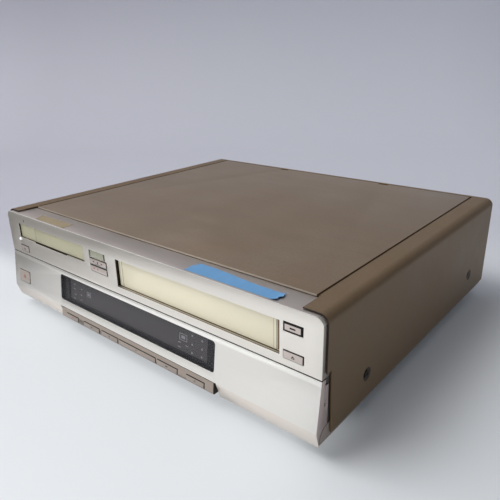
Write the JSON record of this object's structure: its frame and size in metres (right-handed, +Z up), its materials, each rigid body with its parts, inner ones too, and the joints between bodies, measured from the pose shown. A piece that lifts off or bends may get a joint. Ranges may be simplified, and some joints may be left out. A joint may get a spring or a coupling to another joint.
{
  "type": "dual cassette deck",
  "caption": "Low wide dual cassette deck with a small slot left, a large slot right, and a slanted drop-down flap with a window over a row of keys.",
  "frame": {"origin": "on the floor plane, under the middle of the whole object", "axes": "+X to the right seen from the front, +Y to the back, +Z up"},
  "size_m": [0.43, 0.3708, 0.117],
  "materials": {
    "casing_paint": "satin, finely grained paint",
    "plate_paint": "satin grey-brown paint",
    "rear_paint": "satin paint",
    "zinc_steel": "bright zinc plate",
    "foot_rubber": "matt moulded",
    "silver_plastic": "pale silver paint on plastic",
    "cream_plastic": "cream moulded",
    "olive_plastic": "greenish cream moulded",
    "lamp_lens": "translucent lens",
    "circuit_board": "green solder mask",
    "smoked_pane": "smoked, glossy",
    "display_glass": "dark glass",
    "button_plastic": "satin moulded",
    "key_plastic": "satin moulded",
    "inner_plastic": "matt dark grey",
    "dial_plastic": "satin moulded",
    "dark_plastic": "matt black moulded",
    "reel_plastic": "white moulded",
    "core_steel": "laminated core",
    "bright_steel": "ground",
    "nickel_metal": "nickel plate",
    "cast_alloy": "as cast",
    "turned_alloy": "fine turned",
    "black_steel": "black oxide"
  },
  "bodies": {
    "root": {"top_cover": "casing_paint", "top_plate": "plate_paint", "base_chassis": "zinc_steel", "feet": "foot_rubber", "rear_panel": "rear_paint", "front_bezel": "silver_plastic", "dub_lamp": "lamp_lens", "status_lamp": "lamp_lens", "switch_boards": "circuit_board", "button_strip": "key_plastic", "end_blocks": "silver_plastic", "hinge_pins": "bright_steel", "inner_panel": "inner_plastic", "display_tube": "display_glass", "display_board": "circuit_board", "flap_catch": "dark_plastic", "front_jacks": "dark_plastic", "main_board": "circuit_board", "power_supply": "circuit_board", "transformer": "core_steel", "rear_jacks": "dark_plastic", "mini_din_sockets": "dark_plastic", "digital_socket": "dark_plastic", "aerial_sockets": "nickel_metal", "ac_inlet": "dark_plastic", "fan_frame": "dark_plastic", "vhs_deck_frame": "zinc_steel", "vhs_drum_base": "cast_alloy", "dv_deck_frame": "zinc_steel", "dv_drum_base": "cast_alloy", "cover_screws": "black_steel"},
    "flap": {"flap": "silver_plastic", "display_window": "smoked_pane"},
    "power_button": {"power_button": "button_plastic"},
    "vhs_door": {"vhs_door": "cream_plastic"},
    "dv_door": {"dv_door": "olive_plastic"},
    "dv_eject_button": {"dv_eject_button": "button_plastic"},
    "dub_in_button": {"dub_in_button": "button_plastic"},
    "dub_out_button": {"dub_out_button": "button_plastic"},
    "picture_button": {"picture_button": "button_plastic"},
    "vhs_eject_button": {"vhs_eject_button": "button_plastic"},
    "record_key": {"record_key": "key_plastic"},
    "rewind_key": {"rewind_key": "key_plastic"},
    "stop_key": {"stop_key": "key_plastic"},
    "play_key": {"play_key": "key_plastic"},
    "forward_key": {"forward_key": "key_plastic"},
    "pause_key": {"pause_key": "key_plastic"},
    "jog_dial": {"jog_dial": "dial_plastic"},
    "shuttle_ring": {"shuttle_ring": "dial_plastic"},
    "fan_rotor": {"fan_rotor": "dark_plastic"},
    "vhs_slide_plates": {"vhs_slide_plates": "zinc_steel"},
    "vhs_holder": {"vhs_holder": "zinc_steel"},
    "vhs_supply_reel": {"vhs_supply_reel": "reel_plastic"},
    "vhs_takeup_reel": {"vhs_takeup_reel": "reel_plastic"},
    "vhs_head_drum": {"vhs_head_drum": "turned_alloy"},
    "vhs_capstan": {"vhs_capstan": "bright_steel"},
    "dv_holder": {"dv_holder": "zinc_steel"},
    "dv_supply_reel": {"dv_supply_reel": "reel_plastic"},
    "dv_takeup_reel": {"dv_takeup_reel": "reel_plastic"},
    "dv_head_drum": {"dv_head_drum": "turned_alloy"}
  },
  "joints": [
    {"name": "flap_hinge", "type": "hinge", "parent": "root", "child": "flap", "pos_m": [0, -0.16908, 0.0155], "axis": [1, 0, 0], "range_deg": [0, 85]},
    {"name": "power_press", "type": "slide", "parent": "flap", "child": "power_button", "axis": [0, 1, 0], "range_m": [0, 0.0012], "stiffness_N_per_m": 800},
    {"name": "vhs_door_hinge", "type": "hinge", "parent": "root", "child": "vhs_door", "pos_m": [0.0817, -0.17368, 0.1013], "axis": [1, 0, 0], "range_deg": [0, 80], "stiffness_Nm_per_rad": 0.02, "springref_deg": -17.19},
    {"name": "dv_door_hinge", "type": "hinge", "parent": "root", "child": "dv_door", "pos_m": [-0.1282, -0.17568, 0.1025], "axis": [1, 0, 0], "range_deg": [0, 80], "stiffness_Nm_per_rad": 0.01, "springref_deg": -17.19},
    {"name": "dv_eject_press", "type": "slide", "parent": "root", "child": "dv_eject_button", "axis": [0, 1, 0], "range_m": [0, 0.0012], "stiffness_N_per_m": 600},
    {"name": "dub_in_press", "type": "slide", "parent": "root", "child": "dub_in_button", "axis": [0, 1, 0], "range_m": [0, 0.0012], "stiffness_N_per_m": 600},
    {"name": "dub_out_press", "type": "slide", "parent": "root", "child": "dub_out_button", "axis": [0, 1, 0], "range_m": [0, 0.0012], "stiffness_N_per_m": 600},
    {"name": "picture_press", "type": "slide", "parent": "root", "child": "picture_button", "axis": [0, 1, 0], "range_m": [0, 0.0012], "stiffness_N_per_m": 600},
    {"name": "vhs_eject_press", "type": "slide", "parent": "root", "child": "vhs_eject_button", "axis": [0, 1, 0], "range_m": [0, 0.0012], "stiffness_N_per_m": 600},
    {"name": "record_press", "type": "slide", "parent": "root", "child": "record_key", "axis": [0, 1, 0], "range_m": [0, 0.001], "stiffness_N_per_m": 600},
    {"name": "rewind_press", "type": "slide", "parent": "root", "child": "rewind_key", "axis": [0, 1, 0], "range_m": [0, 0.001], "stiffness_N_per_m": 600},
    {"name": "stop_press", "type": "slide", "parent": "root", "child": "stop_key", "axis": [0, 1, 0], "range_m": [0, 0.001], "stiffness_N_per_m": 600},
    {"name": "play_press", "type": "slide", "parent": "root", "child": "play_key", "axis": [0, 1, 0], "range_m": [0, 0.001], "stiffness_N_per_m": 600},
    {"name": "forward_press", "type": "slide", "parent": "root", "child": "forward_key", "axis": [0, 1, 0], "range_m": [0, 0.001], "stiffness_N_per_m": 600},
    {"name": "pause_press", "type": "slide", "parent": "root", "child": "pause_key", "axis": [0, 1, 0], "range_m": [0, 0.001], "stiffness_N_per_m": 600},
    {"name": "jog_turn", "type": "hinge", "parent": "root", "child": "jog_dial", "pos_m": [0.152, -0.16658, 0.0425], "axis": [0, 1, 0], "continuous": true},
    {"name": "shuttle_turn", "type": "hinge", "parent": "root", "child": "shuttle_ring", "pos_m": [0.152, -0.16658, 0.0425], "axis": [0, 1, 0], "range_deg": [-75, 75], "stiffness_Nm_per_rad": 0.02},
    {"name": "fan_spin", "type": "hinge", "parent": "root", "child": "fan_rotor", "pos_m": [-0.14, 0.17542, 0.066], "axis": [0, 1, 0], "continuous": true},
    {"name": "vhs_carriage_in", "type": "slide", "parent": "root", "child": "vhs_slide_plates", "axis": [0, 1, 0], "range_m": [0, 0.048]},
    {"name": "vhs_holder_down", "type": "slide", "parent": "vhs_slide_plates", "child": "vhs_holder", "axis": [0, 0, -1], "range_m": [0, 0.026]},
    {"name": "vhs_supply_turn", "type": "hinge", "parent": "root", "child": "vhs_supply_reel", "pos_m": [0.0462, -0.05358, 0.043], "axis": [0, 0, 1], "continuous": true},
    {"name": "vhs_takeup_turn", "type": "hinge", "parent": "root", "child": "vhs_takeup_reel", "pos_m": [0.1172, -0.05358, 0.043], "axis": [0, 0, 1], "continuous": true},
    {"name": "vhs_drum_spin", "type": "hinge", "parent": "root", "child": "vhs_head_drum", "pos_m": [0.0817, 0.03542, 0.0396], "axis": [0, 0.0976, 0.9952], "continuous": true},
    {"name": "vhs_capstan_spin", "type": "hinge", "parent": "root", "child": "vhs_capstan", "pos_m": [0.1337, 0.02642, 0.038], "axis": [0, 0, 1], "continuous": true},
    {"name": "dv_holder_down", "type": "slide", "parent": "root", "child": "dv_holder", "axis": [0, 0, -1], "range_m": [0, 0.009]},
    {"name": "dv_supply_turn", "type": "hinge", "parent": "root", "child": "dv_supply_reel", "pos_m": [-0.1402, -0.10858, 0.068], "axis": [0, 0, 1], "continuous": true},
    {"name": "dv_takeup_turn", "type": "hinge", "parent": "root", "child": "dv_takeup_reel", "pos_m": [-0.1162, -0.10858, 0.068], "axis": [0, 0, 1], "continuous": true},
    {"name": "dv_drum_spin", "type": "hinge", "parent": "root", "child": "dv_head_drum", "pos_m": [-0.1282, -0.06158, 0.0674], "axis": [0, 0.1478, 0.989], "continuous": true}
  ]
}
